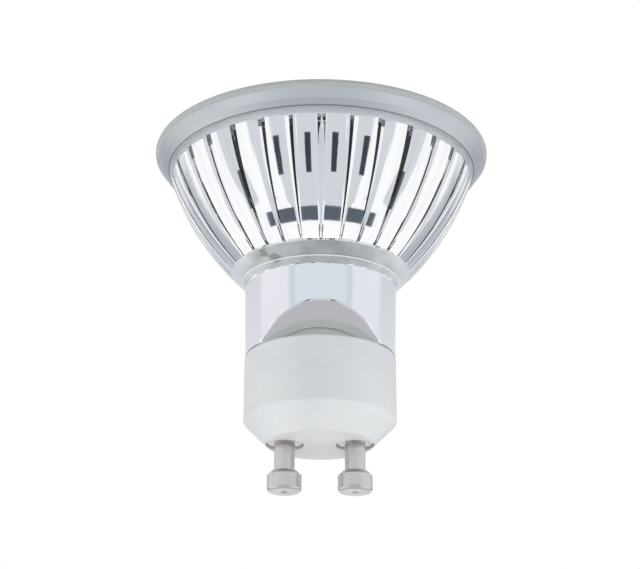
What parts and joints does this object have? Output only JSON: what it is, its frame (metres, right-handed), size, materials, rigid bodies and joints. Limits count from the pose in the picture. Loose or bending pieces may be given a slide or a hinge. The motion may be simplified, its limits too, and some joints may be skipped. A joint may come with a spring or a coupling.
{
  "type": "reflector spot lamp",
  "caption": "Reflector spot lamp: fluted mirror-glass bowl with a clear front glass, straight neck with sloping flats, and a chamfered ceramic base with headed contact pins that twist-lock.",
  "frame": {"origin": "centre of the base's flat end face, between the two contact pins", "axes": "+Z along the lamp's axis from the base to the front glass, X through both contact pins, Y square to the neck's two flats"},
  "size_m": [0.05, 0.05, 0.0523],
  "materials": {
    "mirror_glass": "bright aluminised pressed glass, satin at the rim",
    "clear_glass": "clear float glass with a rounded edge",
    "clear_adhesive": "translucent silicone",
    "white_ceramic": "fine matte white steatite",
    "cement": "rough off-white cement",
    "plated_brass": "satin nickel plate on turned brass",
    "quartz": "clear fused quartz",
    "tungsten": "drawn grey wire",
    "molybdenum": "thin rolled foil",
    "nickel_wire": "drawn bright wire",
    "glass_fibre": "woven white sleeving"
  },
  "bodies": {
    "root": {"reflector": "mirror_glass", "front_lens": "clear_glass", "lens_seal": "clear_adhesive", "base_shell": "white_ceramic", "base_cement": "cement", "contact_pin_left": "plated_brass", "contact_pin_right": "plated_brass", "burner_capsule": "quartz", "burner_cement": "cement", "filament": "tungsten", "filament_support": "tungsten", "filament_lead_left": "tungsten", "filament_lead_right": "tungsten", "sealing_foil_left": "molybdenum", "sealing_foil_right": "molybdenum", "supply_lead_left": "nickel_wire", "supply_lead_right": "nickel_wire", "lead_sleeve_left": "glass_fibre", "lead_sleeve_right": "glass_fibre"}
  },
  "joints": []
}
